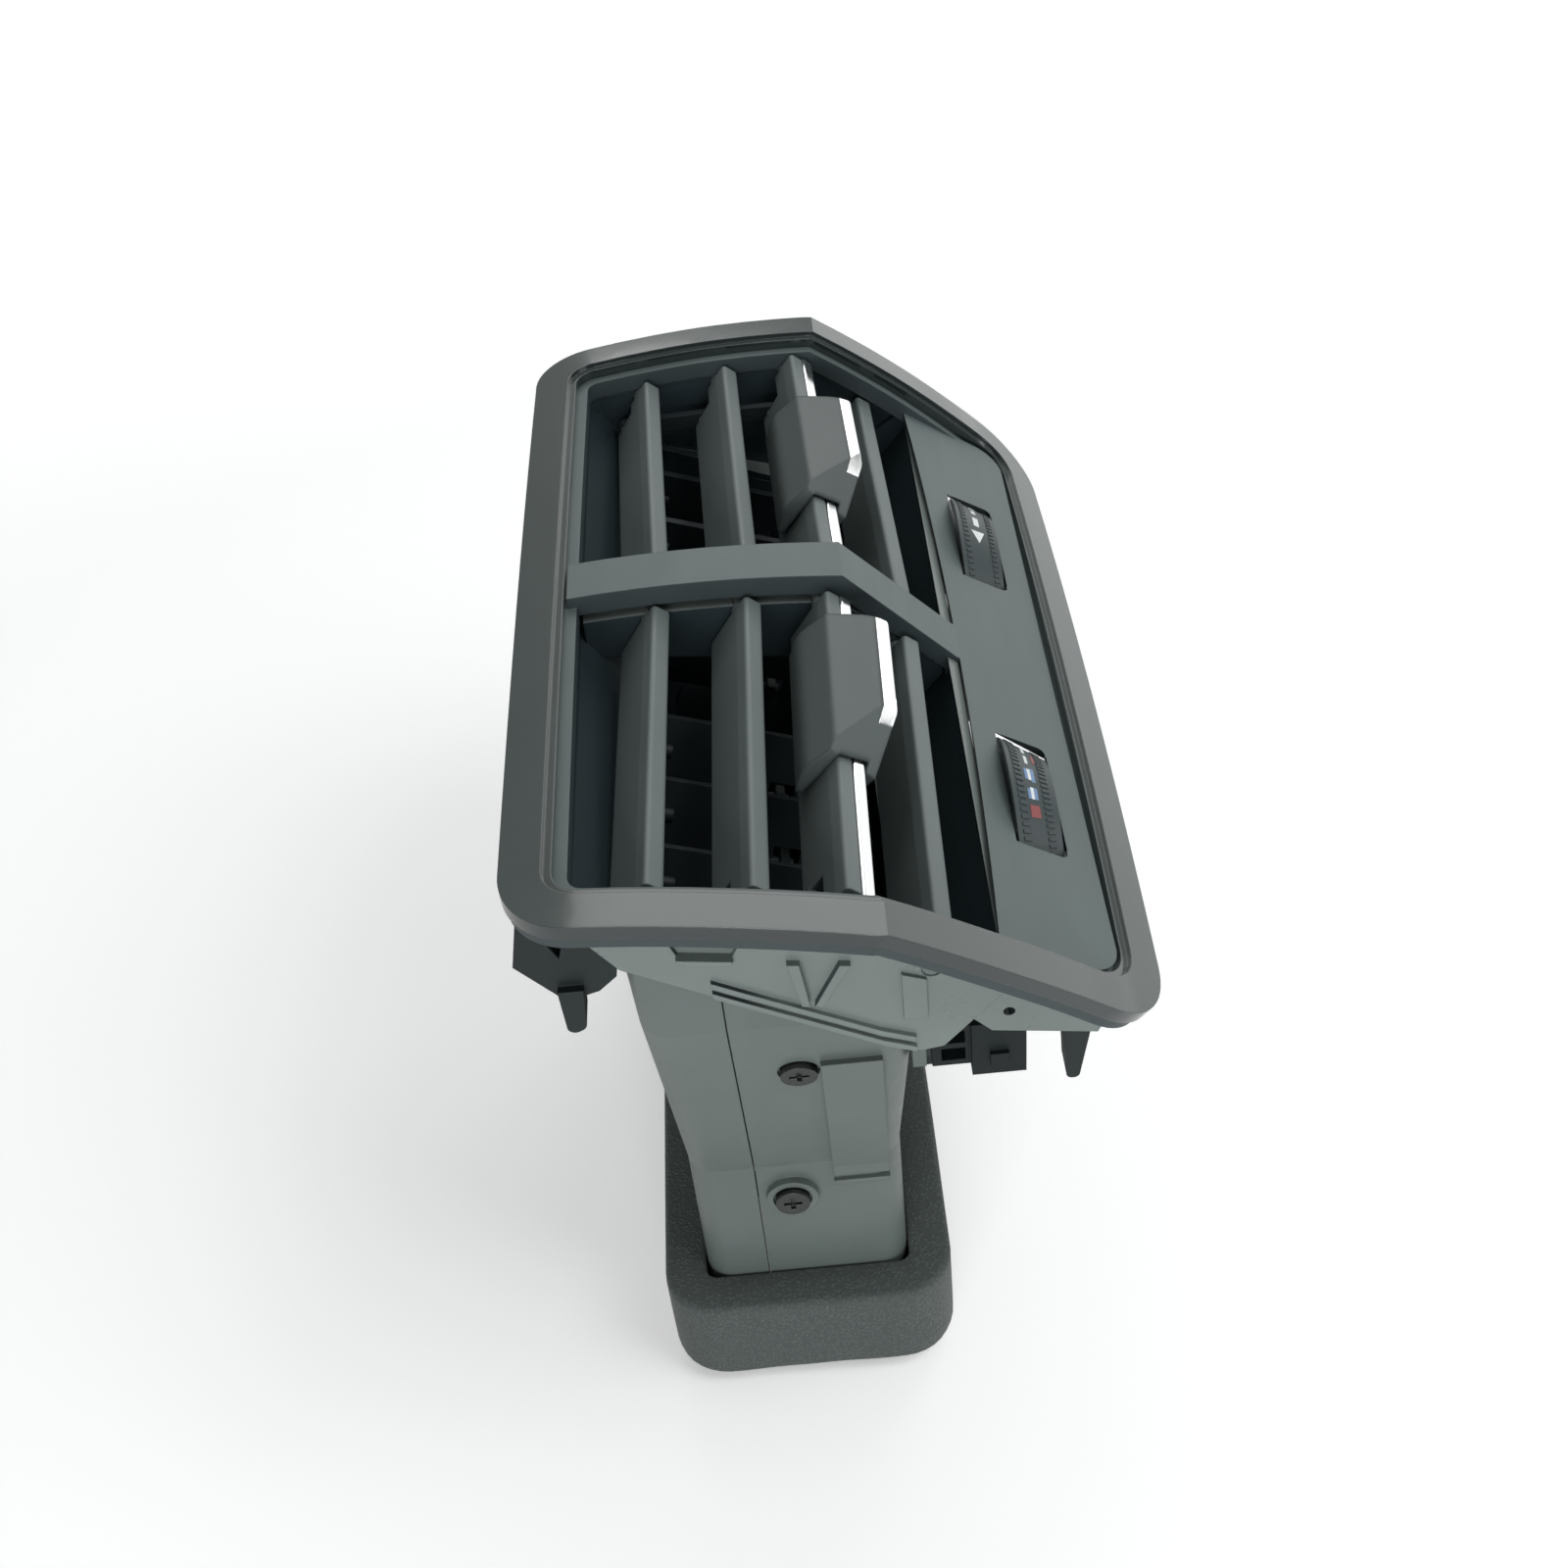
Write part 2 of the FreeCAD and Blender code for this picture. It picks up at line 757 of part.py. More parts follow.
def knob_place(across, y, deep):
    x, z = blade_point(trim_louvre, across, deep)
    return V(x, y, z)


def outer_side(a, b, c):
    """Large block that stands on the plane through three places."""
    normal = (b - a).cross(c - a)
    side = Part.makeBox(80, 80, 40)
    side.translate(V(-40, -40, 0))
    side.Placement = FreeCAD.Placement(a, FreeCAD.Rotation(V(0, 0, 1), normal)).multiply(side.Placement)
    return side


def knob(shift, flip):
    """Knob and bright strip; the sloping end faces the vent's near side."""
    middle = outlet_centre + shift
    way = -1 if flip else 1
    sloped = middle - way * 0.5 * knob_length
    square = middle + way * 0.5 * knob_length
    clear = half_nose + slide_gap
    right = 0.9 + trim_width + slide_gap
    body = blade_prism(trim_louvre, [
        (-3.6, -1.8),
        (knob_right, -knob_front),
        (6.1, 1.3 - knob_front),
        (5.4, 3.2),
        (right, 3.6),
        (right, -0.3 - slide_gap),
        (-clear, -0.3 - slide_gap),
        (-clear, 9.0),
        (-clear - 1.0, 9.6),
        (-5.0, 4.5),
    ], [1.0, 0.5, 1.0, 0.4, 0, 0, 0, 0.3, 0.5, 6], min(sloped, square), max(sloped, square))
    places = [
        knob_place(-3.6, sloped + way * 1.5, -1.8),
        knob_place(knob_right, sloped + way * knob_chamfer, -knob_front),
        knob_place(5.4, sloped, 0.5),
    ]
    if not flip:
        places.reverse()
    body = body.cut(outer_side(*places))
    inset = 6.2 - knob_corner
    corner = prism([
        (inset, -knob_corner),
        (12.0, -knob_corner),
        (12.0, 12.0),
        (inset, 12.0),
    ], 0, -20, 20).cut(Part.makeCylinder(knob_corner, 40, V(inset, -knob_corner, -20)))
    if flip:
        corner = mirrored(corner)
    corner.rotate(V(0, 0, 0), V(0, 1, 0), louvre_tilt)
    corner.translate(knob_place(0.0, square, 0.0))
    body = body.cut(corner)
    band = blade_prism(trim_louvre, [
        (3.3, -9.0),
        (8.0, -9.0),
        (8.0, 2.7 - knob_front),
        (3.3, 2.7 - knob_front),
    ], 0, 0, wide)
    return leaned(body.cut(band)), leaned(body.common(band))


for name, shift in (("far", knob_far_shift), ("near", knob_near_shift)):
    body, trim = knob(shift, name == "near")
    if name == "near":
        body = mirrored(body)
        trim = mirrored(trim)
    export("knob_" + name, body)
    export("knob_trim_" + name, trim)


# Vanes behind the louvres, one straight set per outlet

vane_tilt = math.radians(vane_axis_slope)


def vane_point(along, rise):
    """X and Z of a place on a vane: along its axis and up towards the louvres."""
    x = vane_axis_x + along * math.cos(vane_tilt) + rise * math.sin(vane_tilt)
    z = vane_axis_z - along * math.sin(vane_tilt) + rise * math.cos(vane_tilt)
    return x, z


def vane_prism(outline, radii, low, high):
    return side_prism([vane_point(along, rise) for along, rise in outline], radii, low, high)


def vane_rod(start, end, rise, radius, y):
    x, z = vane_point(start, rise)
    axis = V(math.cos(vane_tilt), 0, -math.sin(vane_tilt))
    return Part.makeCylinder(radius, end - start, V(x, y, z), axis)


def vane_turn(shape, y, shift):
    """Turn a vane about its own axis to suit the knob's place."""
    x, z = vane_point(0, 0)
    axis = V(-math.cos(vane_tilt), 0, math.sin(vane_tilt))
    return turned(shape, V(x, y, z), axis, vane_per_travel * shift)


vane_inside = block(vane_low_x, vane_high_x, 0, wide, 0, sky)
first_vane = bar_half + vane_gap
vane_pitch = (duct_top_y - vane_gap - first_vane) / (vane_count - 1)
vane_bores = []
for name, shift in (("far", knob_far_shift), ("near", knob_near_shift)):
    pins = []
    for index in range(vane_count):
        y = first_vane + index * vane_pitch
        half = 0.5 * vane_thickness
        plate = vane_prism([
            (-24, vane_top),
            (24, vane_top),
            (24, -vane_foot),
            (-24, -vane_foot),
        ], 0, y - half, y + half)
        plate = plate.common(vane_inside)
        plate = plate.cut(vane_prism([(2, -2.4), (6.6, -2.4), (6.6, -9), (2, -9)], 0, y - 3, y + 3))
        vane = plate.fuse([
            vane_rod(-vane_pin_end, -16, 0, vane_pin, y),
            vane_rod(16, vane_pin_end, 0, vane_pin, y),
            vane_rod(1.0, 5.8, -link_drop, link_pin, y),
        ])
        vane = vane_turn(vane, y, shift)
        if name == "near":
            vane = mirrored(vane)
        export("vane_" + name + "_" + str(index + 1), vane)
        bore = vane_pin + running_gap
        vane_bores += [
            vane_rod(-30, -14, 0, bore, y),
            vane_rod(14, 30, 0, bore, y),
        ]
        pins.append(y)
    low, high = pins[0] - link_end, pins[-1] + link_end
    strip = vane_prism([
        (3.4, -link_drop - 1.6),
        (5.0, -link_drop - 1.6),
        (5.0, -link_drop + 1.6),
        (3.4, -link_drop + 1.6),
    ], 0, low, high)
    for y in pins:
        strip = strip.cut(vane_rod(0, 9, -link_drop, link_pin + running_gap, y))
    swing = math.radians(vane_per_travel * shift)
    dx = link_drop * (1 - math.cos(swing)) * math.sin(vane_tilt)
    dz = link_drop * (1 - math.cos(swing)) * math.cos(vane_tilt)
    strip = moved(strip, dx, -link_drop * math.sin(swing), dz)
    export("vane_link_" + name, mirrored(strip) if name == "near" else strip)
vane_bores += [mirrored(bore) for bore in vane_bores]


# Tapering duct in two shells, split along its length

def ring(left, right, half, radius, z):
    wire = rounded([(left, -half), (right, -half), (right, half), (left, half)], radius)
    wire.translate(V(0, 0, z))
    return wire


def duct_solid(inset, low, high):
    stations = [
        (low, -mouth_x, mouth_x, mouth_y),
        (waist_z, -mouth_x, mouth_x + 0.2, mouth_y),
        (duct_shoulder, seam_left[0] + 0.7, seam_right[0] + 0.1, duct_top_y),
        (high, seam_left[0] - 0.1, seam_right[0] + 0.4, duct_top_y + 0.3),
    ]
    wires = [
        ring(left + inset, right - inset, half - inset, duct_corner - inset, z)
        for z, left, right, half in stations
    ]
    return Part.makeLoft(wires, True, True)


above_seam = side_prism([
    (-wide, seam_height(-wide, -box_gap)),
    (wide, seam_height(wide, -box_gap)),
    (wide, 3 * wide),
    (-wide, 3 * wide),
], 0, -wide, wide)
duct_high = ridge_z - 14.4
duct_outer = duct_solid(0.0, 0.0, duct_high)
duct_inner = duct_solid(duct_wall, -1.0, duct_high + 2.0)
duct_shell = duct_outer.cut(duct_inner)


wall_fall = (duct_top_y - mouth_y) / (duct_shoulder - waist_z)


def duct_half(z):
    """Half width of the duct at a height."""
    return mouth_y + max(0.0, z - waist_z) * wall_fall


def wall_plate(x0, x1, low, high, inside, outside):
    """Plate on the duct's long wall between two depths, the second one further out."""
    outline = [
        (duct_half(low) + outside, low),
        (duct_half(high) + outside, high),
        (duct_half(high) + inside, high),
        (duct_half(low) + inside, low),
    ]
    return end_prism(outline, 0, x0, x1)


pads = []
lean_wall = math.degrees(math.atan(wall_fall))
for base, top, rise in (
    (waist_z + 0.01, ridge_z - 46.4, 1.2),
    (waist_z - 3.4, waist_z - 0.6, 0.7),
    (waist_z - 5.6, waist_z - 4.6, 0.9),
):
    pads.append(wall_plate(6.6, 16.4, base, top, -1.4, rise))
ring_boss = Part.makeCylinder(4.6, 2.4, V(screw_low_x, mouth_y - 1.0, screw_low_z), V(0, 1, 0))
pads.append(ring_boss)
pads += [mirrored(pad) for pad in pads]

screw_places = []
screw_seats = []
for x, z, lean_angle, head_y in (
    (screw_high_x, screw_high_z, lean_wall, duct_half(screw_high_z)),
    (screw_low_x, screw_low_z, 0.0, mouth_y + 1.4),
):
    a = math.radians(lean_angle)
    outward = V(0, math.cos(a), -math.sin(a))
    at = V(x, head_y, z)
    screw_places.append((at, outward))
    pilot = Part.makeCylinder(1.25, 9.0, at - outward * 7.0, outward)
    seat = Part.makeCylinder(3.4, 4.0, at - outward * 0.9, outward)
    screw_seats.append(pilot.fuse(seat))
screw_seats += [mirrored(seat) for seat in screw_seats]

axle_bores = []
for side in (-1, 1):
    axle_bores.append(Part.makeCylinder(
        flap_axle + running_gap, 60, V(-30, side * flap_y, flap_z), V(1, 0, 0)))
hubs = []
for side in (-1, 1):
    hubs.append(Part.makeCylinder(
        flap_axle + 2.2, 5.0, V(mouth_x - 0.6, side * flap_y, flap_z), V(1, 0, 0)))

tab = block(mouth_x + 2.7, mouth_x + 4.9, duct_half(screw_high_z) - 3.9, duct_half(screw_high_z) - 1.1, ridge_z - 52.4, ridge_z - 48.0)
duct_full = duct_shell.fuse(pads + hubs + [tab, mirrored(tab)])
duct_full = duct_full.cut(Part.makeCompound(screw_seats + axle_bores + vane_bores))
duct_full = duct_full.cut(above_seam)

pilots = Part.makeCompound(screw_seats)
tongues = []
tongue_depth = -duct_wall - tongue_thickness
for x, z in ((screw_high_x, screw_high_z), (screw_low_x, screw_low_z)):
    low, high = z - tongue_half, z + tongue_half
    edge = split_x - 0.5 * split_gap
    tongues.append(wall_plate(split_x - 6.0, edge, low, high, tongue_depth, 0.5 - duct_wall))
    tongues.append(wall_plate(split_x - 1.0, x + 5.0, low, high, tongue_depth, -duct_wall - 0.15))
tongues += [mirrored(tongue) for tongue in tongues]
left_shell = duct_full.common(block(-wide, split_x - 0.5 * split_gap, -wide, wide, -5, sky))
left_shell = left_shell.fuse(tongues).cut(pilots).removeSplitter()
export("duct_left_shell", left_shell)
right_shell = duct_full.common(block(split_x + 0.5 * split_gap, wide, -wide, wide, -5, sky))
export("duct_right_shell", right_shell)

screws = []
for at, outward in screw_places:
    for flip in (False, True):
        head = Part.makeCylinder(3.0, 1.9, at - outward * 0.85, outward)
        shank = Part.makeCylinder(1.2, 5.2, at - outward * 5.6, outward)
        cross = Part.makeBox(0.8, 3.2, 1.2, V(-0.4, -1.6, 0))
        cross = cross.fuse(Part.makeBox(3.2, 0.8, 1.2, V(-1.6, -0.4, 0)))
        turn = FreeCAD.Rotation(V(0, 0, 1), outward)
        cross.Placement = FreeCAD.Placement(at + outward * 0.25, turn)
        screw = head.fuse(shank).cut(cross)
        screws.append(mirrored(screw) if flip else screw)
export("duct_screws", *screws)

foam_x = mouth_x + foam_thickness
foam_y = mouth_y + foam_thickness
collar = Part.Face(ring(-foam_x, foam_x, foam_y, duct_corner + 5.0, foam_bottom))
collar = collar.extrude(V(0, 0, foam_height))
hole = Part.Face(ring(-mouth_x - 0.3, mouth_x + 0.3, mouth_y + 0.3, duct_corner + 0.3, 0.0))
export("foam_seal", collar.cut(hole.extrude(V(0, 0, 60))))


# Thumbwheels: conical rims that follow the slope of the panel

def turned_ring(points, y):
    """Body of revolution about an axis along X; points are place and radius."""
    edges = []
    for index in range(len(points)):
        start = points[index - 1]
        end = points[index]
        edges.append(Part.makeLine(V(start[0], 0, start[1]), V(end[0], 0, end[1])))
    solid = Part.Face(Part.Wire(edges)).revolve(V(0, 0, 0), V(1, 0, 0), 360)
    return moved(solid, 0, y, wheel_centre_z)


def wheel(y):
    left = panel_x - 0.5 * wheel_width
    right = panel_x + 0.5 * wheel_width
    fall = math.tan(math.radians(panel_slope))
    rim_right = wheel_radius - wheel_width * fall
    middle = 0.5 * (left + right)
    web = wheel_radius - 0.5 * wheel_width * fall - wheel_wall
    bore = wheel_axle + running_gap
    return turned_ring([
        (left, wheel_radius),
        (right, rim_right),
        (right, rim_right - wheel_wall),
        (middle + 1.0, web - 0.9),
        (middle + 1.0, wheel_axle + 2.5),
        (right, wheel_axle + 2.5),
        (right, bore),
        (left, bore),
        (left, wheel_axle + 2.5),
        (middle - 1.0, wheel_axle + 2.5),
        (middle - 1.0, web),
        (left, wheel_radius - wheel_wall),
    ], y)


def polar(radius, angle):
    a = math.radians(angle)
    return radius * math.cos(a), radius * math.sin(a)


rod_run = (flap_y - slot_y, flap_z - wheel_centre_z)
square_angle = math.degrees(math.atan2(rod_run[1], rod_run[0])) + 90.0
rest_angle = square_angle - 0.5 * flap_closing
crank_y, crank_z = polar(crank_radius, rest_angle)
tie_y, tie_z = polar(tie_radius, -90.0 - 0.5 * flap_closing)


def rod_x(low, high, radius, y, z):
    return Part.makeCylinder(radius, high - low, V(low, y, z), V(1, 0, 0))


def bar_x(low, thickness, width, start, end, bore=0.0):
    """Flat bar with round ends in a plane across X, between two places in Y and Z."""
    gap = math.hypot(end[0] - start[0], end[1] - start[1])
    ux = (end[0] - start[0]) / gap
    uz = (end[1] - start[1]) / gap
    half = 0.5 * width
    middle = end_prism([
        (start[0] - uz * half, start[1] + ux * half),
        (end[0] - uz * half, end[1] + ux * half),
        (end[0] + uz * half, end[1] - ux * half),
        (start[0] + uz * half, start[1] - ux * half),
    ], 0, low, low + thickness)
    solid = middle.fuse([
        rod_x(low, low + thickness, half, start[0], start[1]),
        rod_x(low, low + thickness, half, end[0], end[1]),
    ]).removeSplitter()
    if bore:
        for y, z in (start, end):
            solid = solid.cut(rod_x(low - 1, low + thickness + 1, bore, y, z))
    return solid


rod_low = rod_lever_x + lever_thickness + lever_gap
wheel_left = panel_x - 0.5 * wheel_width
volume_wheel = wheel(slot_y).fuse([
    rod_x(rod_low - 0.4, wheel_left + 2.4, crank_pin, slot_y + crank_y, wheel_centre_z + crank_z),
    rod_x(wheel_left + 1.4, panel_x - 0.9, 3.2, slot_y + crank_y, wheel_centre_z + crank_z),
])
export("volume_wheel", volume_wheel.removeSplitter())
export("temperature_wheel", wheel(-slot_y))

link_bore = crank_pin + running_gap
export("flap_rod", bar_x(
    rod_low, lever_thickness, lever_width,
    (slot_y + crank_y, wheel_centre_z + crank_z),
    (flap_y + crank_y, flap_z + crank_z), link_bore))

tie_low = tie_lever_x + lever_thickness + lever_gap
export("flap_tie", bar_x(
    tie_low, lever_thickness, lever_width - 1.0,
    (flap_y + tie_y, flap_z + tie_z),
    (-flap_y + tie_y, flap_z + tie_z), link_bore))


def flap(y, driven):
    half = 0.5 * flap_thickness
    plate = end_prism([
        (y - half, flap_z - flap_half + 3.0),
        (y - 0.5, flap_z - flap_half),
        (y + 0.5, flap_z - flap_half),
        (y + half, flap_z - flap_half + 3.0),
        (y + half, flap_z + flap_half - 3.0),
        (y + 0.5, flap_z + flap_half),
        (y - 0.5, flap_z + flap_half),
        (y - half, flap_z + flap_half - 3.0),
    ], 0, -0.5 * flap_width, 0.5 * flap_width)
    side = 0.5 * flap_width
    plate = plate.common(side_prism([
        (-side, flap_z - flap_half),
        (side, flap_z - flap_half),
        (side, flap_z + flap_half),
        (-side, flap_z + flap_half),
    ], flap_corner, y - half, y + half))
    end = axle_end if driven else tie_lever_x + lever_thickness
    pieces = [
        rod_x(-mouth_x + 0.3, end, flap_axle, y, flap_z),
        bar_x(tie_lever_x, lever_thickness, lever_width, (y, flap_z), (y + tie_y, flap_z + tie_z)),
        rod_x(tie_lever_x, tie_low + lever_thickness + 0.4, crank_pin, y + tie_y, flap_z + tie_z),
    ]
    if driven:
        pieces += [
            bar_x(rod_lever_x, lever_thickness, lever_width, (y, flap_z), (y + crank_y, flap_z + crank_z)),
            rod_x(rod_lever_x, rod_low + lever_thickness + 0.4, crank_pin, y + crank_y, flap_z + crank_z),
        ]
    return plate.fuse(pieces).removeSplitter()


export("flap_far", flap(flap_y, True))
export("flap_near", flap(-flap_y, False))


# Brackets that carry the wheels under the panel

def carrier(side):
    y = side * slot_y
    under = 1.0 + panel_thickness
    tip = right_edge(throat_inset, throat_depth)
    crown = (slot_y + strip_half) ** 2 / (2 * crown_radius)
    tops = []
    for x, top in (
        (strip_left, panel_height(strip_left + strip_thickness) - under),
        (strip_right, tip.z - crown - clear_gap),
    ):
        tops.append(block(x, x + strip_thickness, y - strip_half, y + strip_half, carrier_low, top))
    right = strip_right + strip_thickness
    cross = block(strip_left, right, y - strip_half, y + strip_half, carrier_low, carrier_low + cross_thickness)
    axle = rod_x(strip_left, right, wheel_axle, y, wheel_centre_z)
    arm_top = ridge_z - 26.8
    arm_low = ridge_z - 33.9
    arm = side_prism([
        (ridge_x + 12.6, ridge_z - 30.8),
        (ridge_x + 16.0, arm_top),
        (strip_left + 0.5, arm_top),
        (strip_left + 0.5, arm_low),
        (ridge_x + 16.0, arm_low),
    ], 0, y - strip_half, y + strip_half)
    return tops[0].fuse([tops[1], cross, axle, arm])


export("wheel_carrier_far", carrier(1).removeSplitter())
x0, y0, z0 = connector_x, connector_y, connector_z
x1 = x0 + connector_length
y1 = y0 + connector_width
z1 = z0 + connector_height
foot = block(strip_left, strip_left + strip_thickness, -y0 + 0.2, -slot_y, z0 + 3.0, z1 + 3.0)
export("wheel_carrier_near", carrier(-1).fuse(foot).removeSplitter())

shell = block(x0, x1, -y1, -y0, z0, z1)
middle = 0.5 * (x0 + x1)
sockets = [
    block(x0 + 1.2, middle - 0.5, -y1 + 1.4, -y0 - 1.4, z0 - 1, z1 - 3.0),
    block(middle + 0.5, x1 - 1.2, -y1 + 1.4, -y0 - 1.4, z0 - 1, z1 - 3.0),
]
ladder_x = x0 - 6.6
ladder = block(ladder_x, x0 + 0.5, -y1 + 1.0, -y1 + 4.0, z0 + 2.0, z1 - 1.0)
windows = [
    block(ladder_x + 1.6, x0 - 1.0, -y1, -y1 + 9.0, z0 + 3.2, z0 + 6.2),
    block(ladder_x + 1.6, x0 - 1.0, -y1, -y1 + 9.0, z0 + 7.4, z0 + 10.4),
]
latch = block(x0 + 3.0, x1 - 3.0, -y1 - 1.0, -y1 + 0.5, z0 + 3.0, z0 + 6.0)
connector = shell.fuse([ladder, latch]).cut(Part.makeCompound(sockets + windows))
export("connector", connector.removeSplitter())
contacts = []
for pair in range(2):
    for place in range(3):
        x = x0 + 0.25 * connector_length + 0.5 * pair * connector_length
        y = -y1 + 2.9 + place * 2.6
        contacts.append(block(x - 0.3, x + 0.3, y - 0.3, y + 0.3, z0 + 1.5, z1 - 3.0))
export("connector_pins", *contacts)


# Spring clips that hold the vent in the console

clip_faces = (clip_y, clip_y + clip_thickness)
slope_angle = math.atan2(slope_foot[1] - slope_top[1], slope_foot[0] - slope_top[0])
seat_left = clip_gap * math.sin(slope_angle)
seat_down = clip_gap * math.cos(slope_angle)
left_clip = side_prism(from_ridge([
    (-54.0, 12.6),
    (-52.3, 12.8),
    (-48.7, 20.8),
    (-47.5, 16.4),
    (-46.8, 11.4),
    (slope_top[0] - seat_left, slope_top[1] + seat_down),
    (slope_foot[0] - seat_left, slope_foot[1] + seat_down),
    (-40.7, 25.8),
    (-43.7, 28.7),
    (-46.1, 29.5),
    (-50.1, 29.0),
    (-55.9, 21.8),
]), 0, clip_faces[0], clip_faces[1])
left_peg = side_prism(from_ridge([
    (-49.9, 26.9),
    (-45.9, 26.9),
    (-46.6, 35.4),
    (-49.6, 36.9),
]), [0, 0, 1.5, 1.2], clip_faces[0] - 1.4, clip_faces[1] + 1.4)
left_clip = left_clip.fuse(left_peg).removeSplitter()
export("clip_left_far", left_clip)
export("clip_left_near", mirrored(left_clip))
foot_outline = from_ridge([(26.0, 37.0), (32.6, 37.0), (32.6, 35.4), (26.0, 34.4)])
right_foot = side_prism(foot_outline, 0, clip_faces[0] + 2.0, skirt_y - 0.3)
right_peg = side_prism(from_ridge([
    (26.4, 35.4),
    (29.0, 35.4),
    (28.9, 40.2),
    (30.8, 43.0),
    (29.2, 54.2),
    (27.2, 54.2),
]), [0, 0, 0.6, 0.6, 1.0, 1.0], clip_faces[0] + 2.0, clip_faces[0] + 7.0)
right_clip = right_foot.fuse(right_peg).removeSplitter()
export("clip_right_far", right_clip)
export("clip_right_near", mirrored(right_clip))
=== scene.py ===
import json
import math

import bmesh
import bpy
from mathutils import Matrix, Vector


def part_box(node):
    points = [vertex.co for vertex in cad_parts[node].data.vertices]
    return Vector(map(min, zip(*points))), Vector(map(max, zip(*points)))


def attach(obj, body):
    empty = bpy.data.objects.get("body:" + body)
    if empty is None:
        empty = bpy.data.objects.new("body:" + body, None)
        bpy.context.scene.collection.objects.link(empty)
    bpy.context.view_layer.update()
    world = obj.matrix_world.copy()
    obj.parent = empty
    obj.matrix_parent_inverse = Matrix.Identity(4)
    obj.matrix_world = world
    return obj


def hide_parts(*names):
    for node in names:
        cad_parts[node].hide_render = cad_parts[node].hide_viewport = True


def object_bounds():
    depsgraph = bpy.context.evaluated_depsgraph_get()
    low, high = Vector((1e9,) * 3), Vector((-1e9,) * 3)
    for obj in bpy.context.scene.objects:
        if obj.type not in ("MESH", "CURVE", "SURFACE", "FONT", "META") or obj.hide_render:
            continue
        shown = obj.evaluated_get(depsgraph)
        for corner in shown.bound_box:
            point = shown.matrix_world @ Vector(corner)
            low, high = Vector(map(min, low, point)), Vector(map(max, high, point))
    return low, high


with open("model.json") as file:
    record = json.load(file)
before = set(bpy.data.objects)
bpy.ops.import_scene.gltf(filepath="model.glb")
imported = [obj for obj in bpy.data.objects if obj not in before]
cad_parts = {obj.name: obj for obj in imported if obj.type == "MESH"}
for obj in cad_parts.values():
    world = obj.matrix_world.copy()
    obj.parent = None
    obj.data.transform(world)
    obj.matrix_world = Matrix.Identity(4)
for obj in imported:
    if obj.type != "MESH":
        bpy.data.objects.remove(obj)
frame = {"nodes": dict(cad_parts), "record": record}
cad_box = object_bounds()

nodes = frame["nodes"]
MM = 0.001


# Material helpers

def linear(red, green, blue):
    """Linear colour from the usual 0 to 255 screen values."""
    def one(value):
        value /= 255.0
        if value <= 0.04045:
            return value / 12.92
        return ((value + 0.055) / 1.055) ** 2.4
    return (one(red), one(green), one(blue), 1.0)


def scaled(colour, factor):
    """The same colour, lighter or darker."""
    return (colour[0] * factor, colour[1] * factor, colour[2] * factor, 1.0)


class Tree:
    """Short names for the steps of building a material's node tree."""

    def __init__(self, name):
        self.material = bpy.data.materials.new(name)
        self.material.use_nodes = True
        self.nodes = self.material.node_tree.nodes
        self.links = self.material.node_tree.links
        self.shader = self.nodes["Principled BSDF"]
        self.coordinates = self.add("ShaderNodeTexCoord")
        self.place = self.coordinates.outputs["Object"]

    def add(self, kind, **values):
        node = self.nodes.new(kind)
        for name, value in values.items():
            setattr(node, name, value)
        return node

    def link(self, source, target):
        self.links.new(source, target)

    def noise(self, scale, detail=3.0, roughness=0.55, stretch=None):
        node = self.add("ShaderNodeTexNoise")
        node.inputs["Scale"].default_value = scale
        node.inputs["Detail"].default_value = detail
        node.inputs["Roughness"].default_value = roughness
        source = self.place
        if stretch:
            mapping = self.add("ShaderNodeMapping")
            mapping.inputs["Scale"].default_value = stretch
            self.link(self.place, mapping.inputs["Vector"])
            source = mapping.outputs["Vector"]
        self.link(source, node.inputs["Vector"])
        return node.outputs["Fac"]

    def span(self, value, low, high, to_low, to_high):
        node = self.add("ShaderNodeMapRange")
        node.inputs["From Min"].default_value = low
        node.inputs["From Max"].default_value = high
        node.inputs["To Min"].default_value = to_low
        node.inputs["To Max"].default_value = to_high
        self.link(value, node.inputs["Value"])
        return node.outputs["Result"]

    def blend(self, factor, first, second):
        node = self.add("ShaderNodeMix", data_type="RGBA")
        self.link(factor, node.inputs["Factor"])
        for socket, value in ((node.inputs[6], first), (node.inputs[7], second)):
            if isinstance(value, tuple):
                socket.default_value = value
            else:
                self.link(value, socket)
        return node.outputs[2]

    def math(self, operation, first, second=None):
        node = self.add("ShaderNodeMath", operation=operation)
        for index, value in enumerate((first, second)):
            if value is None:
                continue
            if isinstance(value, (int, float)):
                node.inputs[index].default_value = value
            else:
                self.link(value, node.inputs[index])
        return node.outputs[0]

    def bump(self, height, strength, distance, edge=None):
        node = self.add("ShaderNodeBump")
        node.inputs["Strength"].default_value = strength
        node.inputs["Distance"].default_value = distance
        self.link(height, node.inputs["Height"])
        if edge:
            bevel = self.add("ShaderNodeBevel", samples=4)
            bevel.inputs["Radius"].default_value = edge
            self.link(bevel.outputs["Normal"], node.inputs["Normal"])
        self.link(node.outputs["Normal"], self.shader.inputs["Normal"])


def split_normal(tree):
    """The surface's own direction, which stays with the piece when it moves."""
    split = tree.add("ShaderNodeSeparateXYZ")
    tree.link(tree.coordinates.outputs["Normal"], split.inputs[0])
    return split.outputs


# Places for the painted shade within the air channel.
CHANNEL_MIDDLE = (2.0 * MM, 0.0, 118.0 * MM)
FACING_FADE = 2.0 * MM
MIDDLE_WALL_HALF = 5.5 * MM
MIDDLE_WALL_FADE = 0.5 * MM


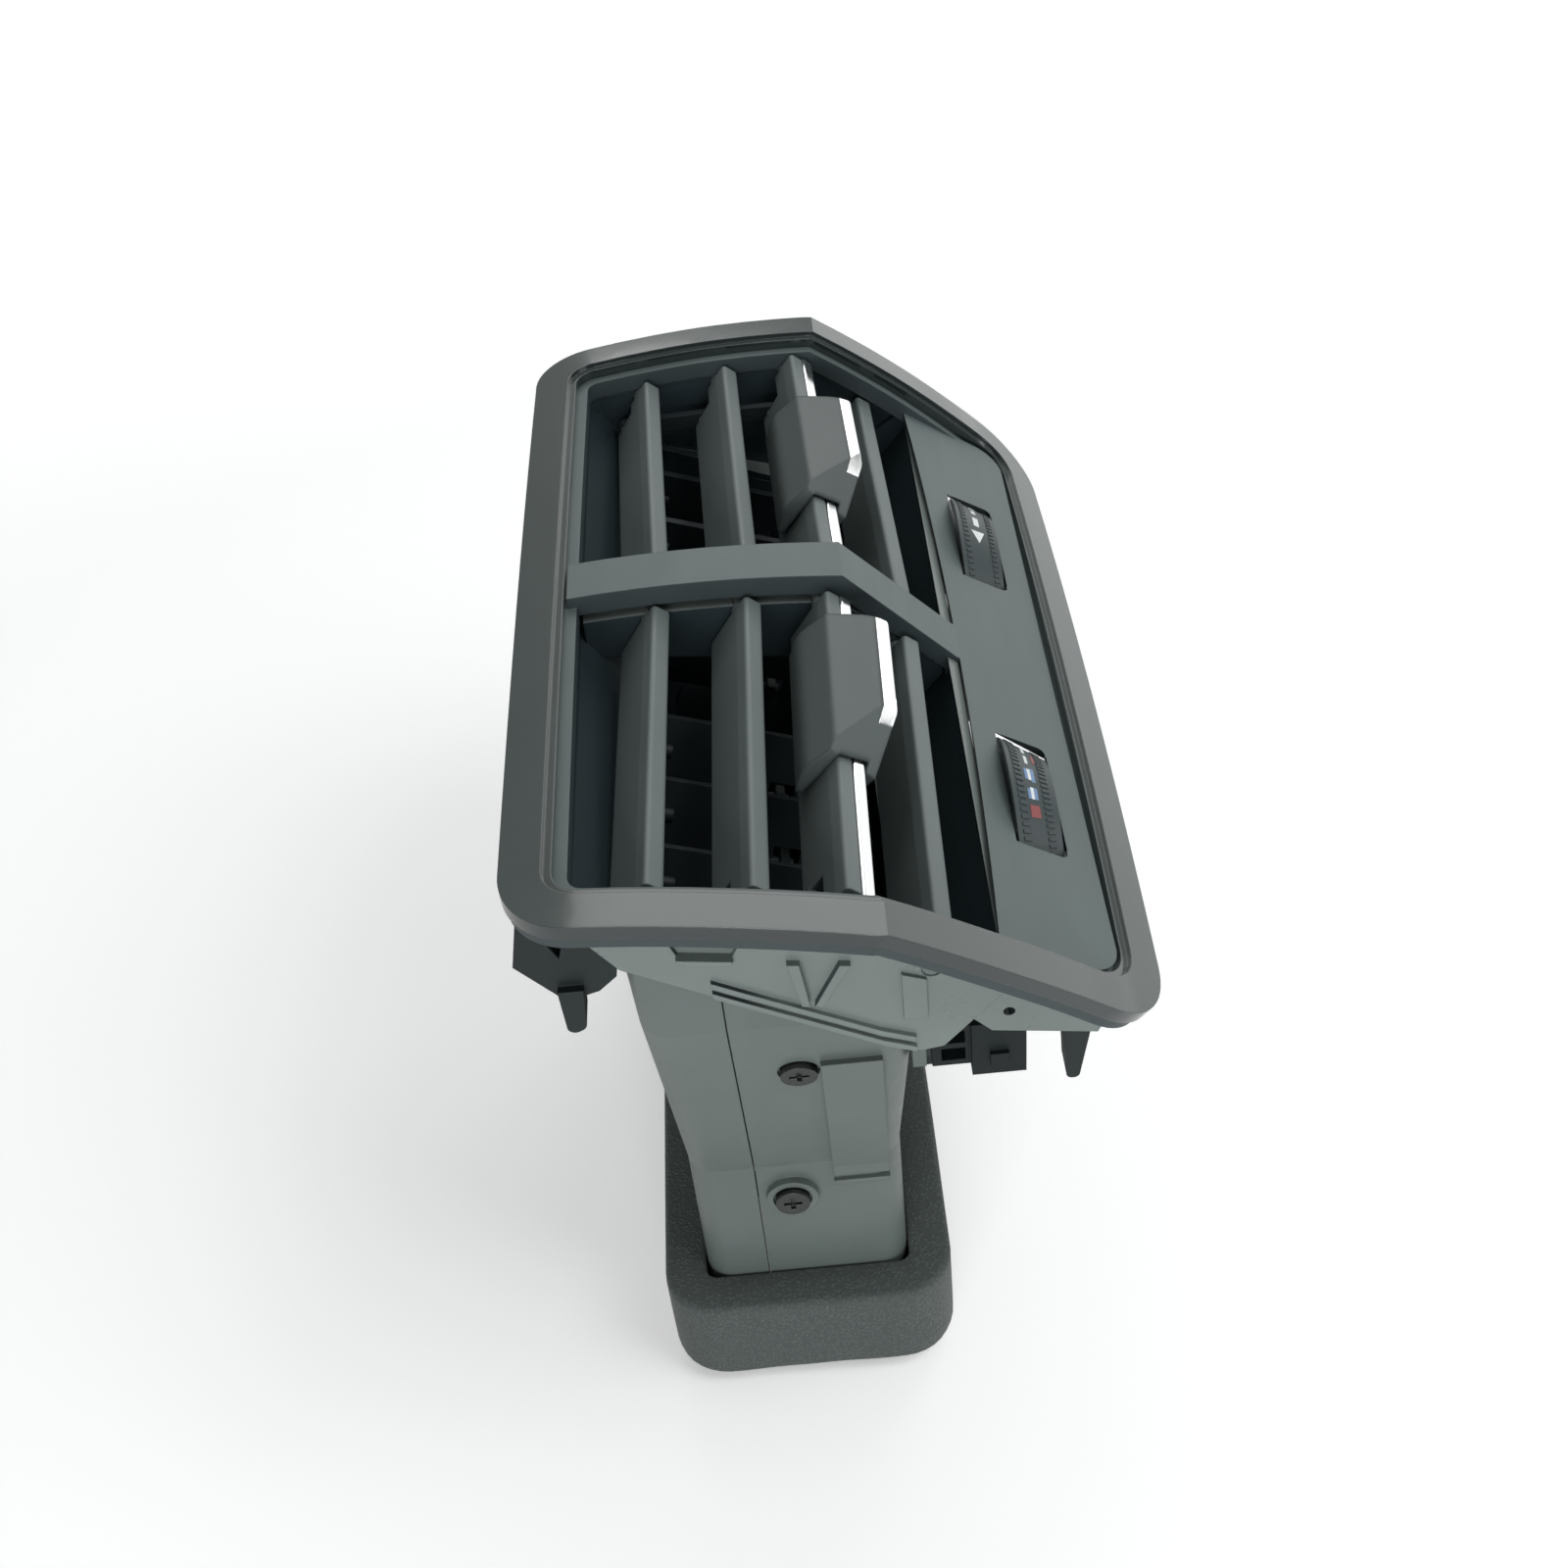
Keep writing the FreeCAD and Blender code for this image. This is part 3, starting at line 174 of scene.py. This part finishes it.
def inward_shade_mask(tree):
    """Painted shade mask: 1 on faces that look in towards the air channel and on the middle wall,
    where shade falls, 0 outside.
    """
    away = tree.add("ShaderNodeVectorMath", operation="SUBTRACT")
    tree.link(tree.place, away.inputs[0])
    away.inputs[1].default_value = CHANNEL_MIDDLE
    flat = tree.add("ShaderNodeVectorMath", operation="MULTIPLY")
    tree.link(away.outputs[0], flat.inputs[0])
    flat.inputs[1].default_value = (1.0, 1.0, 0.0)
    dot = tree.add("ShaderNodeVectorMath", operation="DOT_PRODUCT")
    tree.link(flat.outputs[0], dot.inputs[0])
    tree.link(tree.coordinates.outputs["Normal"], dot.inputs[1])
    facing = tree.span(dot.outputs["Value"], -FACING_FADE, 0.0, 1.0, 0.0)
    place = tree.add("ShaderNodeSeparateXYZ")
    tree.link(tree.place, place.inputs[0])
    sideways = tree.math("ABSOLUTE", place.outputs["Y"])
    near_middle = tree.span(sideways, MIDDLE_WALL_HALF, MIDDLE_WALL_HALF + MIDDLE_WALL_FADE, 1.0, 0.0)
    across = tree.span(tree.math("ABSOLUTE", split_normal(tree)["Y"]), 0.5, 0.6, 0.0, 1.0)
    return tree.math("MAXIMUM", facing, tree.math("MULTIPLY", near_middle, across))


def upright_shade_mask(tree):
    """Painted shade mask: 1 on upright faces such as slot walls and edges, which sit in shade, 0 on
    faces that look up.
    """
    return tree.span(split_normal(tree)["Z"], 0.45, 0.6, 1.0, 0.0)


GRAIN_HEIGHT = 0.05 * MM


def plastic(name, colour, rough, grain=2600.0, depth=0.25, mottle=0.06, edge=0.3 * MM,
            shade_colour=None, mask=inward_shade_mask, specular=0.5, coat=0.0, coat_rough=0.1):
    """Moulded plastic: fine mould grain, faint flow marks and softly broken edges.

    Where the mask is 1 the second colour is used: painted shade on faces that lie in shadow.
    """
    tree = Tree(name)
    broad = tree.noise(38.0, 4.0)
    streak = tree.noise(160.0, 3.0, stretch=(1.0, 0.25, 1.6))
    light = scaled(colour, 1.0 + mottle)
    dark = scaled(colour, 1.0 - mottle)
    tone = tree.blend(tree.span(broad, 0.32, 0.68, 0.0, 1.0), dark, light)
    # Painted shade: the masked faces take the darker colour where light reaches less.
    if shade_colour:
        tone = tree.blend(mask(tree), tone, shade_colour)
    tree.link(tone, tree.shader.inputs["Base Color"])
    uneven = tree.math("MULTIPLY", tree.math("ADD", broad, streak), 0.5)
    roughness = tree.span(uneven, 0.35, 0.65, rough * 0.88, rough * 1.12)
    tree.link(roughness, tree.shader.inputs["Roughness"])
    tree.shader.inputs["Specular IOR Level"].default_value = specular
    tree.shader.inputs["Coat Weight"].default_value = coat
    tree.shader.inputs["Coat Roughness"].default_value = coat_rough
    tree.bump(tree.noise(grain, 2.0, 0.6), depth, GRAIN_HEIGHT, edge)
    return tree.material


def metal(name, colour, rough, grain=900.0):
    """Metal or plating, faintly brushed along Y."""
    tree = Tree(name)
    tree.shader.inputs["Metallic"].default_value = 1.0
    brushed = tree.noise(grain, 2.0, stretch=(1.0, 0.08, 1.0))
    tone = tree.blend(tree.span(brushed, 0.3, 0.7, 0.0, 1.0), scaled(colour, 0.94), colour)
    tree.link(tone, tree.shader.inputs["Base Color"])
    roughness = tree.span(brushed, 0.3, 0.7, rough * 0.8, rough * 1.25)
    tree.link(roughness, tree.shader.inputs["Roughness"])
    tree.bump(brushed, 0.06, 0.02 * MM, 0.2 * MM)
    return tree.material


def foam_material(name, colour):
    """Open-cell foam: fine pores over a slowly uneven surface."""
    tree = Tree(name)
    cells = tree.add("ShaderNodeTexVoronoi")
    cells.inputs["Scale"].default_value = 1500.0
    tree.link(tree.place, cells.inputs["Vector"])
    broad = tree.noise(120.0, 4.0)
    pores = tree.span(cells.outputs["Distance"], 0.1, 0.55, 0.0, 1.0)
    tone = tree.blend(pores, scaled(colour, 1.15), scaled(colour, 0.72))
    tree.link(tree.blend(tree.span(broad, 0.3, 0.7, 0.0, 0.35), tone, scaled(colour, 0.8)),
              tree.shader.inputs["Base Color"])
    tree.link(tree.span(broad, 0.3, 0.7, 0.86, 0.98), tree.shader.inputs["Roughness"])
    tree.shader.inputs["Specular IOR Level"].default_value = 0.15
    tree.shader.inputs["Sheen Weight"].default_value = 0.15
    height = tree.math("ADD", tree.math("MULTIPLY", pores, -0.6), broad)
    tree.bump(height, 0.7, 0.25 * MM)
    return tree.material


def paint_material(name, colour, rough=0.45):
    """Printed mark: a thin ink film with a slightly uneven edge tone."""
    tree = Tree(name)
    fleck = tree.noise(2200.0, 2.0)
    tone = tree.blend(tree.span(fleck, 0.35, 0.7, 0.0, 1.0), colour, scaled(colour, 0.86))
    tree.link(tone, tree.shader.inputs["Base Color"])
    roughness = tree.span(fleck, 0.3, 0.7, rough * 0.9, rough * 1.1)
    tree.link(roughness, tree.shader.inputs["Roughness"])
    tree.bump(fleck, 0.1, 0.03 * MM)
    return tree.material


# Painted shade for the faces within the air channel of the housing and the duct.
channel_shade = linear(44, 55, 59)
finishes = {
    # The frame and the face get painted shade on their upright walls; the housing and the duct get it
    # within the air channel.
    "gloss_frame": plastic(
        "frame gloss", linear(66, 76, 74), 0.14, grain=1400.0, depth=0.02, mottle=0.03,
        shade_colour=linear(34, 42, 42), mask=upright_shade_mask, specular=0.8, coat=0.4, coat_rough=0.05),
    "grained_face": plastic(
        "face grain", linear(96, 108, 107), 0.5, shade_colour=linear(54, 65, 67), mask=upright_shade_mask),
    "louvre_grey": plastic(
        "louvre satin", linear(106, 116, 115), 0.45, grain=3200.0, depth=0.18, edge=0.5 * MM),
    "black_housing": plastic(
        "housing shine", linear(116, 126, 123), 0.3, grain=1200.0, depth=0.08, shade_colour=channel_shade),
    "grey_duct": plastic(
        "duct satin", linear(96, 106, 103), 0.36, grain=1500.0, depth=0.12, shade_colour=channel_shade),
    "clip_black": plastic(
        "clip black", linear(30, 38, 38), 0.45, grain=1200.0, depth=0.1, specular=0.3),
    "vane_black": plastic("vane black", linear(38, 46, 49), 0.5, specular=0.3),
    "link_black": plastic("link black", linear(36, 43, 45), 0.5, specular=0.3),
    "wheel_black": plastic("wheel satin", linear(62, 72, 73), 0.42, grain=2400.0, depth=0.2),
    "connector_black": plastic("connector black", linear(24, 32, 32), 0.55, specular=0.25),
    "contact_metal": metal("contact plating", (0.8, 0.68, 0.42, 1.0), 0.25),
    "dark_steel": metal("screw steel", (0.1, 0.105, 0.105, 1.0), 0.42),
    "bright_trim": metal("trim chrome", (0.9, 0.92, 0.92, 1.0), 0.1),
    "foam": foam_material("seal foam", linear(86, 94, 92)),
}
knob_finish = plastic("knob satin", linear(80, 89, 88), 0.42, grain=3200.0, depth=0.15, edge=1.0 * MM)
node_slot = {entry["node"]: entry["material_slot"] for entry in frame["record"]["subparts"]}
for name, thing in nodes.items():
    thing.data.materials.clear()
    is_knob = name in ("knob_far", "knob_near")
    thing.data.materials.append(knob_finish if is_knob else finishes[node_slot[name]])


# Mesh helpers

def new_piece(name, mesh_data, material, body, smooth=True):
    """A piece of the scene's own that rides one of the part's bodies."""
    mesh = bpy.data.meshes.new(name)
    mesh_data.normal_update()
    mesh_data.to_mesh(mesh)
    mesh_data.free()
    thing = bpy.data.objects.new(name, mesh)
    bpy.context.scene.collection.objects.link(thing)
    mesh.materials.append(material)
    for polygon in mesh.polygons:
        polygon.use_smooth = smooth
    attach(thing, body)
    return thing


# Foam collar round the duct's mouth, as a soft block with rounded edges

def round_rect(half_x, half_y, radius, per_corner, per_side):
    """Points round a rounded rectangle, anticlockwise from the +X side."""
    points = []
    centres = ((1, 1, 0), (-1, 1, 90), (-1, -1, 180), (1, -1, 270))
    for index, (sx, sy, start) in enumerate(centres):
        cx = sx * (half_x - radius)
        cy = sy * (half_y - radius)
        for step in range(per_corner + 1):
            angle = math.radians(start + 90.0 * step / per_corner)
            points.append(Vector((cx + radius * math.cos(angle), cy + radius * math.sin(angle))))
        nx, ny, _ = centres[(index + 1) % 4]
        angle = math.radians(start + 90.0)
        end = Vector((
            nx * (half_x - radius) + radius * math.cos(angle),
            ny * (half_y - radius) + radius * math.sin(angle)))
        begin = points[-1]
        for step in range(1, per_side):
            points.append(begin.lerp(end, step / per_side))
    return points


FOAM_WALL = 7.7 * MM
FOAM_CORNER = 10.0 * MM
FOAM_LEAST_CORNER = 2.0 * MM
FOAM_SOFT = 1.3 * MM
FOAM_WAVE = 0.09 * MM
FOAM_SINK = 0.15 * MM
FOAM_WAVE_REACH = 2.0 * MM


def quarter(radius, steps):
    """Points of a quarter circle in the corner of a square, from one side to the other."""
    points = []
    for step in range(steps + 1):
        angle = math.radians(90.0 * step / steps)
        points.append((radius * (1 - math.sin(angle)), radius * (1 - math.cos(angle))))
    return points


def foam_profile(low, top, side_steps=6):
    """The collar's section as inset from its outer face and height, from the outer foot round."""
    outer = quarter(FOAM_SOFT, 4)
    inner = quarter(0.5 * FOAM_SOFT, 2)
    straight = top - low - 2 * FOAM_SOFT
    profile = [(run, low + rise) for run, rise in outer]
    for step in range(1, side_steps):
        profile.append((0.0, low + FOAM_SOFT + straight * step / side_steps))
    profile += [(rise, top - run) for run, rise in outer]
    profile.append((0.5 * FOAM_WALL, top))
    profile += [(FOAM_WALL - run, top - rise) for run, rise in inner]
    profile += [(FOAM_WALL - run, low + rise) for run, rise in reversed(inner)]
    profile.append((0.5 * FOAM_WALL, low))
    return profile


def foam_ring(low, high, per_corner=8, per_side=12):
    """The collar as one closed skin, with faint waves in its outer face."""
    data = bmesh.new()
    rows = []
    for inset, z in foam_profile(low.z, high.z):
        radius = max(FOAM_CORNER - inset, FOAM_LEAST_CORNER)
        ring = round_rect(high.x - inset, high.y - inset, radius, per_corner, per_side)
        ease = max(0.0, 1.0 - inset / FOAM_WAVE_REACH)
        row = []
        for index, point in enumerate(ring):
            along = 2 * math.pi * index / len(ring)
            wave = math.sin(7 * along + 90 * z) + 0.6 * math.sin(17 * along - 230 * z)
            push = FOAM_WAVE * wave * ease - FOAM_SINK * ease
            direction = point.normalized()
            row.append(data.verts.new((point.x + direction.x * push, point.y + direction.y * push, z)))
        rows.append(row)
    count = len(rows[0])
    for index, row in enumerate(rows):
        ahead = rows[(index + 1) % len(rows)]
        for step in range(count):
            after = (step + 1) % count
            data.faces.new((row[step], row[after], ahead[after], ahead[step]))
    bmesh.ops.recalc_face_normals(data, faces=data.faces)
    return data


foam_mesh = foam_ring(*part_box("foam_seal"))
foam = new_piece("foam_collar", foam_mesh, finishes["foam"], "vent_body")
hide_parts("foam_seal")


# Thumbwheels: knurled bands on both edges of the rim, and printed marks between

WHEEL_SLOPE = math.radians(32.0)
RIM_WIDTH = 7.3 * MM
KNURL_TEETH = 104
TOOTH_SHARE = 0.54
TOOTH_ROOT = -0.25 * MM
TOOTH_TIP = 0.16 * MM
INK_ROOT = -0.05 * MM
INK_TOP = 0.06 * MM


class Wheel:
    """A thumbwheel's rim: places on its conical face, from its box."""

    def __init__(self, node):
        low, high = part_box(node)
        self.y = 0.5 * (low.y + high.y)
        self.z = 0.5 * (low.z + high.z)
        self.radius = 0.5 * (high.z - low.z)
        self.left = high.x - RIM_WIDTH

    def point(self, across, angle, rise=0.0):
        """A place on the rim: across from its left edge, angle from the top, rise above it."""
        x = self.left + across
        reach = self.radius - across * math.tan(WHEEL_SLOPE)
        x += rise * math.sin(WHEEL_SLOPE)
        reach += rise * math.cos(WHEEL_SLOPE)
        return Vector((x, self.y + reach * math.sin(angle), self.z + reach * math.cos(angle)))


def slab_on_rim(data, wheel, outline, low, high):
    """Thin raised piece on the rim; outline in across and angle, anticlockwise."""
    base = [data.verts.new(wheel.point(across, angle, low)) for across, angle in outline]
    top = [data.verts.new(wheel.point(across, angle, high)) for across, angle in outline]
    count = len(outline)
    data.faces.new(top)
    data.faces.new(base[::-1])
    for index in range(count):
        after = (index + 1) % count
        data.faces.new((base[index], base[after], top[after], top[index]))


def knurl(wheel, bands):
    """Rows of small teeth round the rim; each band is its two edges in mm across."""
    data = bmesh.new()
    pitch = 2 * math.pi / KNURL_TEETH
    half = 0.5 * TOOTH_SHARE * pitch
    for start, end in bands:
        for index in range(KNURL_TEETH):
            middle = index * pitch
            slab_on_rim(data, wheel, [
                (start * MM, middle - half),
                (end * MM, middle - half),
                (end * MM, middle + half),
                (start * MM, middle + half),
            ], TOOTH_ROOT, TOOTH_TIP)
    bmesh.ops.recalc_face_normals(data, faces=data.faces)
    return data


def arc_band(data, wheel, start, end, first, last, low, high, steps=4):
    """Curved strip along the rim between two angles."""
    rows = []
    for step in range(steps + 1):
        angle = first + (last - first) * step / steps
        rows.append([
            data.verts.new(wheel.point(start, angle, low)),
            data.verts.new(wheel.point(end, angle, low)),
            data.verts.new(wheel.point(end, angle, high)),
            data.verts.new(wheel.point(start, angle, high)),
        ])
    for row, ahead in zip(rows, rows[1:]):
        for index in range(4):
            after = (index + 1) % 4
            data.faces.new((row[index], row[after], ahead[after], ahead[index]))
    data.faces.new(rows[0][::-1])
    data.faces.new(rows[-1])


ink_white = paint_material("mark white", linear(236, 242, 242))
ink_blue = paint_material("mark blue", linear(120, 150, 190))
ink_red = paint_material("mark red", linear(150, 84, 84))

near_wheel = Wheel("temperature_wheel")
far_wheel = Wheel("volume_wheel")
rim = finishes["wheel_black"]
new_piece("temperature_wheel_knurl", knurl(near_wheel, ((0.9, 2.1), (5.0, 6.2))), rim,
          "temperature_wheel", smooth=False)
new_piece("volume_wheel_knurl", knurl(far_wheel, ((0.9, 1.8), (5.6, 6.5))), rim,
          "volume_wheel", smooth=False)


def marks(name, wheel, body, colour, strips, triangles=()):
    """Printed bars, each (from, to) in mm across and (from, to) in degrees round, and triangles."""
    data = bmesh.new()
    for start, end, first, last in strips:
        arc_band(data, wheel, start * MM, end * MM, math.radians(first), math.radians(last),
                 INK_ROOT, INK_TOP)
    for points in triangles:
        outline = [(across * MM, math.radians(angle)) for across, angle in points]
        slab_on_rim(data, wheel, outline, INK_ROOT, INK_TOP)
    bmesh.ops.recalc_face_normals(data, faces=data.faces)
    return new_piece(name, data, colour, body, smooth=False)


marks("temperature_marks_white", near_wheel, "temperature_wheel", ink_white, [
    (3.1, 3.6, 23.0, 31.0),
    (3.1, 3.6, 11.0, 19.0),
    (3.1, 3.6, -2.0, 6.0),
    (3.1, 3.6, -14.0, -7.0),
])
marks("temperature_marks_blue", near_wheel, "temperature_wheel", ink_blue, [
    (2.6, 3.1, -2.0, 6.0),
    (3.6, 4.2, -3.0, 7.0),
    (2.6, 3.1, -14.0, -8.0),
    (3.6, 4.2, -14.0, -7.0),
])
marks("temperature_marks_red", near_wheel, "temperature_wheel", ink_red, [
    (2.6, 4.2, -24.0, -17.5),
    (4.4, 4.9, 14.0, 24.0),
])
marks("volume_marks_white", far_wheel, "volume_wheel", ink_white, [
    (3.1, 4.1, 25.0, 28.0),
    (3.2, 4.0, 15.0, 20.0),
    (3.1, 4.1, 0.0, 9.0),
], [
    [(2.4, -5.0), (3.6, -14.0), (4.8, -5.0)],
])


# Floor, light and camera, in metres and watts

FLOOR_REACH = 6.0
GLOW_START = 0.3
GLOW_FULL = 1.2


def floor_material():
    """Pale paper that keeps the shadow near the part and fades to white further off."""
    tree = Tree("floor paper")
    tree.shader.inputs["Base Color"].default_value = (0.93, 0.94, 0.94, 1.0)
    tree.shader.inputs["Roughness"].default_value = 0.9
    tree.shader.inputs["Specular IOR Level"].default_value = 0.1
    path = tree.add("ShaderNodeLightPath")
    reach = tree.add("ShaderNodeVectorMath", operation="LENGTH")
    tree.link(tree.place, reach.inputs[0])
    glow = tree.span(reach.outputs["Value"], GLOW_START, GLOW_FULL, 0.3, 1.0)
    seen = tree.math("MULTIPLY", path.outputs["Is Camera Ray"], glow)
    tree.shader.inputs["Emission Color"].default_value = (1.0, 1.0, 1.0, 1.0)
    tree.link(seen, tree.shader.inputs["Emission Strength"])
    return tree.material


floor_mesh = bpy.data.meshes.new("floor")
floor_data = bmesh.new()
bmesh.ops.create_grid(floor_data, x_segments=8, y_segments=8, size=FLOOR_REACH)
floor_data.to_mesh(floor_mesh)
floor_data.free()
floor = bpy.data.objects.new("floor", floor_mesh)
floor.location = (0.0, 0.0, cad_box[0][2])
bpy.context.scene.collection.objects.link(floor)
floor_mesh.materials.append(floor_material())

SKY_LIGHT = 0.14
SKY_IN_GLOSS = 0.3


def studio_world():
    """White to the camera, a dim even light on the part, a little brighter in its gloss."""
    world = bpy.data.worlds.new("studio")
    world.use_nodes = True
    tree = world.node_tree
    background = tree.nodes["Background"]
    background.inputs["Color"].default_value = (1.0, 1.0, 1.0, 1.0)
    path = tree.nodes.new("ShaderNodeLightPath")
    reflected = tree.nodes.new("ShaderNodeMapRange")
    reflected.inputs["To Min"].default_value = SKY_LIGHT
    reflected.inputs["To Max"].default_value = SKY_IN_GLOSS
    tree.links.new(path.outputs["Is Glossy Ray"], reflected.inputs["Value"])
    level = tree.nodes.new("ShaderNodeMath")
    level.operation = "MAXIMUM"
    tree.links.new(path.outputs["Is Camera Ray"], level.inputs[0])
    tree.links.new(reflected.outputs["Result"], level.inputs[1])
    tree.links.new(level.outputs["Value"], background.inputs["Strength"])
    return world


bpy.context.scene.world = studio_world()


def softbox(name, place, target, size, power):
    """A rectangular soft light that faces the target."""
    lamp = bpy.data.lights.new(name, "AREA")
    lamp.shape = "RECTANGLE"
    lamp.size, lamp.size_y = size
    lamp.energy = power
    thing = bpy.data.objects.new(name, lamp)
    thing.location = place
    aim = Vector(target) - Vector(place)
    thing.rotation_euler = aim.to_track_quat("-Z", "Y").to_euler()
    bpy.context.scene.collection.objects.link(thing)


part_middle = (0.01, 0.0, 0.1)
softbox("key", (0.6, -0.3, 1.0), part_middle, (0.6, 0.6), 5.1)
softbox("left", (-0.45, 0.3, 1.1), part_middle, (0.6, 0.6), 0.6)
softbox("front", (-0.15, -1.1, 0.3), part_middle, (0.7, 0.5), 7.2)
softbox("top", (0.2, 0.82, 0.9), part_middle, (1.0, 0.8), 4.6)
softbox("card", (0.75, 0.85, 0.27), part_middle, (0.9, 0.6), 1.4)
softbox("side", (1.15, 0.0, 0.35), part_middle, (0.3, 0.5), 1.0)

# The camera's place and its right and up directions follow the photo's view
camera_place = Vector((0.0107, -0.2676, 0.3315))
camera_right = Vector((0.99517, -0.05157, -0.08357))
camera_up = Vector((0.09652, 0.67074, 0.73541))
camera_back = camera_right.cross(camera_up)
camera_data = bpy.data.cameras.new("camera")
camera_data.sensor_width = 36.0
camera_data.lens = 45.0
camera_data.clip_start = 0.01
camera = bpy.data.objects.new("camera", camera_data)
turn = Matrix((camera_right, camera_up, camera_back)).transposed()
camera.matrix_world = Matrix.Translation(camera_place) @ turn.to_4x4()
bpy.context.scene.collection.objects.link(camera)
bpy.context.scene.camera = camera
bpy.context.scene.view_settings.view_transform = "Standard"
